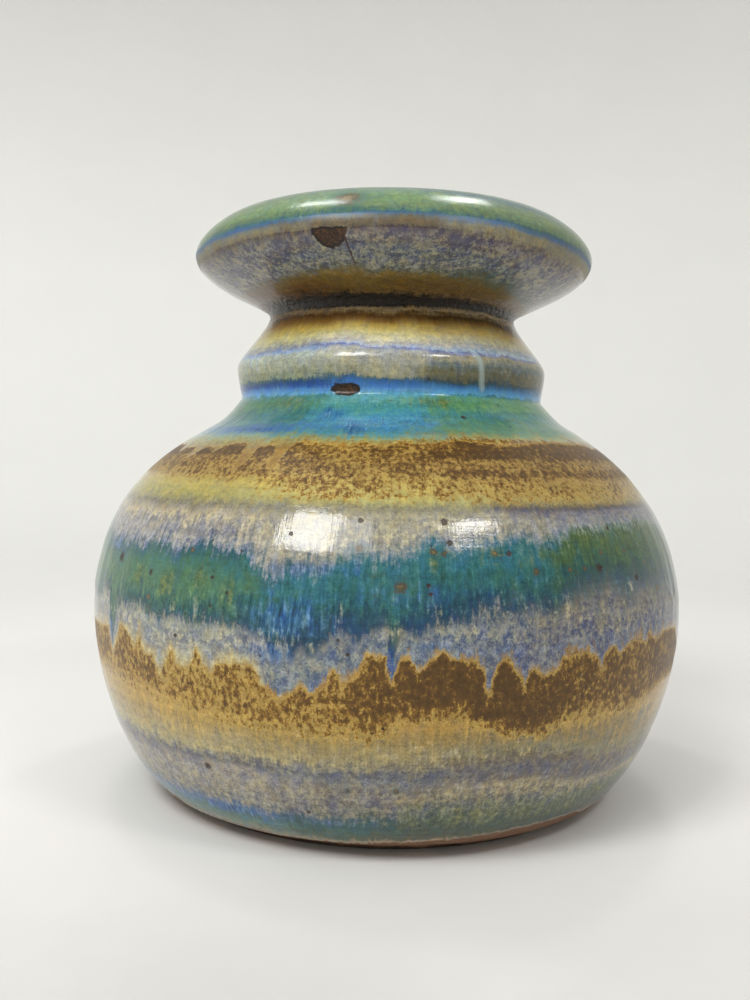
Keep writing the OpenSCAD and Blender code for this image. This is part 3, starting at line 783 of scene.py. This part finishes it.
def glaze_group():
    """The whole painting as one node group: colour, roughness and relief height in millimetres."""
    tree = bpy.data.node_groups.new("flowing_glaze", "ShaderNodeTree")
    for name, kind in (("Color", "NodeSocketColor"), ("Roughness", "NodeSocketFloat"),
                       ("Height", "NodeSocketFloat")):
        tree.interface.new_socket(name, in_out="OUTPUT", socket_type=kind)
    out = tree.nodes.new("NodeGroupOutput")
    sh = Shader(tree)
    flow = sh.attribute("flow")
    height, left, right = sh.parts(sh.attribute("layout"))
    iron_in, blue_in, moss_in = sh.parts(sh.attribute("dose"))
    frost_in, run_in, glazed = sh.parts(sh.attribute("touch"))
    crater_in, crack_in, drip_in = sh.parts(sh.attribute("marks"))
    where = sh.stretch(sh.node("TexCoord").outputs["Object"], (1 / MM,) * 3)

    streak = sh.noise(sh.stretch(flow, (1, 1, .12)), 1.5, 3, .6)
    thread = sh.noise(sh.stretch(flow, (1, 1, .2)), .62, 2, .6)
    broad = sh.noise(sh.stretch(flow, (1, 1, .35)), 6, 2, .5)
    lines = sh.noise(sh.stretch(flow, (.04, .04, 1)), 1.3, 3, .6, .3)
    fleck = sh.noise(where, 1.3, 4, .65)
    speck = sh.noise(sh.stretch(where, (1, 1, .7)), .95, 3, .6)
    grain = sh.noise(where, .4, 2, .6)
    cloud = sh.noise(where, 4.5, 3, .55)
    tinge = sh.noise(sh.stretch(where, (1, 1, .6)), 2.1, 3, .6)

    moved = sh.add(height, sh.times(run_in, sh.add(sh.swing(streak, 1.5), sh.swing(thread, 1.6),
                                                   sh.swing(broad, 1.3))),
                   sh.times(sh.math("MINIMUM", run_in, 1.2), sh.swing(fleck, 2.2)), sh.swing(grain, .4),
                   sh.times(sh.rise(height, 87, 90), sh.swing(lines, .8)))
    left = sh.rise(sh.add(left, sh.swing(streak, .5), sh.swing(cloud, .9)), .05, .95)
    right = sh.rise(sh.add(right, sh.swing(streak, .5), sh.swing(cloud, .9)), .05, .95)
    colour = by_side(sh, moved, BODY_STOPS, left, right)
    for begins, stops in ((SHOULDER, SHOULDER_STOPS), (NECK, MOUTH_STOPS)):
        above = by_side(sh, moved, stops, left, right)
        colour = sh.mix(sh.math("GREATER_THAN", moved, begins), colour, above)
    within = sh.math("SUBTRACT", moved, vase_h)
    colour = sh.mix(sh.rise(within, -.6, .6), colour, sh.ramp(within, INSIDE_STOPS))

    tint = sh.rise(sh.add(blue_in, sh.swing(streak, .6), sh.swing(fleck, .5)), .25, .95, .8)
    colour = sh.mix(tint, colour, sh.ramp(sh.add(thread, sh.swing(tinge, .3)), BLUE_STOPS))
    tint = sh.rise(sh.add(moss_in, sh.swing(streak, .8), sh.swing(fleck, .6)), .35, .9, .7)
    colour = sh.mix(tint, colour, sh.mix(sh.rise(fleck, .4, .65), (66, 88, 46), (118, 126, 78)))
    tint = sh.rise(sh.add(frost_in, sh.swing(thread, .6), sh.swing(fleck, .8)), .3, 1.1, .75)
    colour = sh.mix(tint, colour, (184, 176, 150))
    curd = sh.add(.5, sh.swing(fleck, .8), sh.swing(cloud, .5), sh.swing(grain, .4))
    colour = sh.mix(sh.ramp(moved, CURD_AMOUNT), colour, sh.ramp(curd, CURD_STOPS))
    colour = sh.mix(.55, colour, sh.ramp(tinge, TINGE_STOPS), "SOFT_LIGHT")

    amount = sh.add(iron_in, sh.swing(speck, 1.05), sh.swing(grain, .6), sh.swing(cloud, .4))
    gate = sh.times(sh.rise(iron_in, .02, .22), sh.rise(amount, .12, .34))
    colour = sh.mix(gate, colour, sh.ramp(amount, IRON_STOPS))
    streaky = sh.rise(run_in, .3, 1.3)
    tone = sh.add(1.0, sh.times(streaky, sh.add(sh.swing(streak, .3), sh.swing(thread, .4))),
                  sh.swing(fleck, .5), sh.swing(grain, .4), sh.swing(lines, .3))
    tone = sh.times(tone, sh.times(1.25, sh.ramp(height, TONE_STOPS)))
    colour = sh.stretch(colour, tone)

    pits = sh.cells(where, 7.0)
    pit = sh.times(sh.rise(pits.outputs["Distance"], .08, .04), sh.math("GREATER_THAN", cloud, .5))
    colour = sh.mix(sh.times(pit, .75), colour, (48, 36, 26))
    wander = sh.add(sh.swing(grain, .5), sh.swing(fleck, .8))
    warm = spots(sh, where, WARM_SPOTS, wander)
    colour = sh.mix(sh.rise(warm, -.7, 0, .4), colour, (40, 84, 86))
    colour = sh.mix(sh.rise(warm, .1, .45, .75), colour, (82, 60, 34))
    colour = sh.mix(sh.rise(warm, .55, .9, .6), colour, (134, 118, 78))
    dark = spots(sh, where, DARK_SPOTS, wander)
    colour = sh.mix(sh.rise(dark, 0, .35, .9), colour, (46, 30, 20))

    upright = sh.parts(where)[2]
    ridge = sh.add(sh.math("ABSOLUTE", drip_in), sh.near(upright, DRIP_MIDDLE, 4, 5.6))
    colour = sh.mix(sh.rise(sh.add(ridge, sh.swing(fleck, .5)), 1.2, .2, .55), colour, (168, 184, 180))
    scar = sh.add(crater_in, sh.swing(fleck, .6))
    scarred = sh.rise(scar, .25, .0)
    colour = sh.mix(scarred, colour, (26, 17, 10))
    pitted = sh.mix(sh.rise(grain, .45, .62), (40, 26, 14), (88, 56, 26))
    colour = sh.mix(sh.rise(scar, -.1, -.6), colour, pitted)
    split = sh.math("ABSOLUTE", sh.add(crack_in, sh.swing(fleck, .4)))
    split = sh.add(split, sh.near(upright, CRACK_MIDDLE, 3.1, 3.6))
    colour = sh.mix(sh.rise(split, .32, .12, .85), colour, (70, 42, 24))

    edge = sh.add(glazed, sh.swing(fleck, .8), sh.swing(streak, .6))
    colour = sh.mix(sh.near(edge, .3, .5, .1, .5), colour, (176, 164, 145))
    bare = sh.rise(edge, .3, -.1)
    colour = sh.mix(bare, colour, sh.mix(fleck, (88, 60, 42), (140, 106, 80)))

    rough = sh.add(.1, sh.swing(fleck, .06), sh.times(sh.rise(iron_in, .1, .6), .3), sh.times(bare, .6),
                   sh.times(sh.rise(dark, 0, .4), .3), sh.times(scarred, .25),
                   sh.times(sh.near(height, BLUE_LINE, 2, 1), .3),
                   sh.times(sh.near(height, RIM_MIDDLE, 4, 2), .1))
    bumps = sh.add(sh.swing(sh.noise(where, 1.6, 2, .5), .014), sh.swing(grain, .006), sh.swing(lines, .014),
                   sh.times(sh.swing(streak, .03), sh.rise(run_in, .1, 1.2)),
                   sh.times(pit, -.08), sh.times(sh.rise(dark, 0, .5), -.1),
                   sh.times(sh.swing(speck, .04), sh.rise(iron_in, .1, .7)),
                   sh.times(bare, sh.swing(fleck, .08)),
                   sh.times(sh.near(upright, CREASE_MIDDLE, 3, 1), sh.swing(fleck, .6)))
    sh.feed(out.inputs["Color"], colour)
    sh.feed(out.inputs["Roughness"], rough)
    sh.feed(out.inputs["Height"], bumps)
    return tree


def new_material(name):
    """A material, the calls that add to its nodes, and its main shader."""
    material = bpy.data.materials.new(name)
    material.use_nodes = True
    return material, Shader(material.node_tree), material.node_tree.nodes["Principled BSDF"]


def emboss(sh, body, height):
    """Small relief in the shader, from a height in millimetres."""
    bump = sh.node("Bump")
    bump.inputs["Distance"].default_value = MM
    sh.feed(bump.inputs["Height"], height)
    sh.feed(body.inputs["Normal"], bump.outputs["Normal"])


def glaze_material(name, group):
    """Glass over the shared painting."""
    material, sh, body = new_material(name)
    painted = sh.node("Group", node_tree=group)
    sh.feed(body.inputs["Base Color"], painted.outputs["Color"])
    sh.feed(body.inputs["Roughness"], painted.outputs["Roughness"])
    emboss(sh, body, painted.outputs["Height"])
    body.inputs["IOR"].default_value = 1.5
    body.inputs["Specular IOR Level"].default_value = .38
    return material


def clay_material():
    """Bare fired stoneware: warm, matt, grog specks, and painted shade darkening it by the table."""
    material, sh, body = new_material("bare_clay")
    where = sh.stretch(sh.node("TexCoord").outputs["Object"], (1 / MM,) * 3)
    grog = sh.noise(where, .6, 3, .6)
    patch = sh.noise(where, 6, 2, .5)
    colour = sh.mix(sh.rise(patch, .35, .65), (112, 80, 58), (146, 110, 84))
    colour = sh.mix(sh.rise(grog, .58, .72, .6), colour, (178, 150, 122))
    colour = sh.mix(sh.rise(grog, .4, .3, .7), colour, (84, 56, 42))
    # Painted shade: the clay darkens to a deep brown over its lowest two or so millimetres, by the table.
    low = sh.add(sh.parts(where)[2], sh.swing(patch, 1.5))
    colour = sh.mix(sh.rise(low, 2.4, .6, .8), colour, (44, 28, 20))
    sh.feed(body.inputs["Base Color"], colour)
    body.inputs["Roughness"].default_value = .82
    emboss(sh, body, sh.swing(grog, .08))
    return material


# ---- the vase's pieces

slot_of = {part["node"]: part["material_slot"] for part in frame["record"]["subparts"]}


def own(piece, node, material):
    """Puts a piece in the frame in place of its CAD node."""
    piece.data.materials.append(material)
    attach(piece, "root")
    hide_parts(node)


def build_foot(material):
    """The bare foot ring, a little uneven, with its worn edges rounded."""
    found = rings("foot_ring")
    inner = found[:, 0].min()
    on_table = found[found[:, 1] < .05][:, 0]
    start, stop = on_table.min(), on_table.max()
    shelf = outline[0] + [-.45, .45]
    profile = np.array([
        (inner, shelf[1]), (inner, 1.2), (inner + .25, .45), (start + .2, 0), (stop - .3, 0),
        (stop + .35, .3), (stop + .95, .85), (stop + 2.6, 2.1),
        tuple(shelf), (shelf[0] - 6, shelf[1] + .1)])
    steps = np.linspace(0, len(profile) - 1, 4 * (len(profile) - 1) + 1)
    fine = np.stack([np.interp(steps, range(len(profile)), profile[:, k]) for k in (0, 1)], 1)
    angle = np.radians(degrees)
    rng = np.random.default_rng(31)
    waves = sum(rng.uniform(.02, .08) * np.sin(n * angle + rng.uniform(0, 6)) for n in (2, 3, 5, 8, 13, 21))
    lifted = np.clip(fine[:, 1] / 1.5, 0, 1)[:, None]
    r = fine[:, :1] + waves * lifted
    z = np.repeat(fine[:, 1:], COLUMNS, 1)
    points = np.stack([r * np.sin(angle), -r * np.cos(angle), z], -1).reshape(-1, 3) * MM
    ring = np.arange(len(points)).reshape(-1, COLUMNS)
    faces = [quads(ring[i], ring[i + 1]) for i in range(len(ring) - 1)] + [quads(ring[-1], ring[0])]
    mesh = smooth_mesh("foot_ring_clay", points.tolist(), np.concatenate(faces).tolist())
    own(put("foot_ring_clay", mesh), "foot_ring", material)


clay = clay_material()
group = glaze_group()
glazes = {slot: glaze_material(slot, group) for slot in sorted(set(slot_of.values()) - {"bare_clay"})}
for name in OUTSIDE + [LIP] + INSIDE:
    own(build_coat(name), name, glazes[slot_of[name]])
build_foot(clay)
for name in CLAY[1:]:
    node = frame["nodes"][name]
    node.data.materials.clear()
    node.data.materials.append(clay)


# ---- stage, lights and camera

width, tall = 2 * belly_r * MM, vase_h * MM

# How much the backdrop glows with the room's light, by metres from the vase out and up
GLOW_STOPS = greys(
    (0, 0), (.1, 0), (.14, 20), (.2, 36), (.35, 60), (.73, 112), (1, 124), (1.25, 126), (1.42, 114),
    (1.56, 92), (1.7, 56), (2, 0))


def build_stage():
    """A pale table top that sweeps up into a round backdrop, which glows a little more to the left.
    The table top carries painted shade, darker towards the camera.
    """
    flat, bend, rise = 3.2 * width, 3.6 * width, 3 * width
    profile = [(flat * k / 6, 0) for k in range(7)]
    profile += [(flat + bend * math.sin(a), bend * (1 - math.cos(a)))
                for a in np.radians(np.arange(7.5, 90.1, 7.5))]
    profile.append((flat + bend, bend + rise))
    count = 96
    points = [(r * math.sin(t), -r * math.cos(t), z) for r, z in profile[1:]
              for t in np.arange(count) * 2 * np.pi / count]
    ring = np.arange(len(points)).reshape(-1, count)
    faces = np.concatenate([quads(ring[i + 1], ring[i]) for i in range(len(ring) - 1)]).tolist()
    piece = put("stage", smooth_mesh("stage", points, faces + [ring[0].tolist()]))
    material, sh, body = new_material("stage_paper")
    where = sh.node("TexCoord").outputs["Object"]
    blotch = sh.noise(where, .1, 4, .6)
    x, y, z = sh.parts(where)
    # Painted shade: the table top turns darker on the camera's side of the vase.
    front_shaded_paper = sh.mix(sh.rise(y, -.02, -.16), (226, 225, 222), (190, 189, 187))
    sh.feed(body.inputs["Base Color"], sh.mix(sh.rise(blotch, .35, .7, .2), front_shaded_paper, (235, 235, 231)))
    body.inputs["Roughness"].default_value = .7
    body.inputs["Emission Color"].default_value = linear((240, 242, 236))
    away = sh.math("SQRT", sh.add(sh.times(x, x), sh.times(y, y)))
    glow = sh.ramp(sh.add(away, z), GLOW_STOPS)
    sh.feed(body.inputs["Emission Strength"], sh.times(glow, sh.math("MULTIPLY_ADD", x, -.55, 1.0)))
    piece.data.materials.append(material)


def soft_light(name, spot, size, power):
    """A white panel of light aimed at the vase: its place and size are in belly widths."""
    data = bpy.data.lights.new(name, "AREA")
    data.shape = "RECTANGLE"
    data.size, data.size_y = size[0] * width, size[1] * width
    data.energy = power
    lamp = put(name, data)
    lamp.location = Vector(spot) * width
    aim = Vector((0, 0, tall * .5)) - lamp.location
    lamp.rotation_mode = "QUATERNION"
    lamp.rotation_quaternion = aim.to_track_quat("-Z", "Y")


build_stage()
soft_light("window_left", (-1.85, -2.6, 3.65), (1.25, 1.5), 2.4)
soft_light("window_beside", (-.9, -3, 3.5), (1, 1.2), .5)
soft_light("window_right", (2, -2.35, 3.6), (1, .5), .8)
soft_light("ceiling_left", (-1.1, .8, 4), (.4, .8), .32)
soft_light("ceiling_right", (.9, 1.4, 4), (.4, .8), .3)

world = bpy.data.worlds.new("pale_room")
world.use_nodes = True
world.node_tree.nodes["Background"].inputs["Color"].default_value = (1.0, 1.0, .985, 1)
world.node_tree.nodes["Background"].inputs["Strength"].default_value = .68
bpy.context.scene.world = world
bpy.context.scene.view_settings.view_transform = "Standard"


def build_camera():
    """The close, slightly raised view from the front, with the photographer's small tilt."""
    pitch, roll, yaw = np.radians([-2.65, 1.23, -.72])
    forward = Vector((math.sin(yaw) * math.cos(pitch), math.cos(yaw) * math.cos(pitch), math.sin(pitch)))
    side = Vector((math.cos(yaw), -math.sin(yaw), 0))
    up = side.cross(forward)
    right = math.cos(roll) * side + math.sin(roll) * up
    top = -math.sin(roll) * side + math.cos(roll) * up
    data = bpy.data.cameras.new("camera")
    data.lens = 35.46
    data.sensor_width = 36
    data.clip_start = .01
    camera = put("camera", data)
    turn = Matrix((right, top, -forward)).transposed()
    camera.matrix_world = Matrix.Translation((0, -1.75 * width, .5888 * tall)) @ turn.to_4x4()
    bpy.context.scene.camera = camera


build_camera()
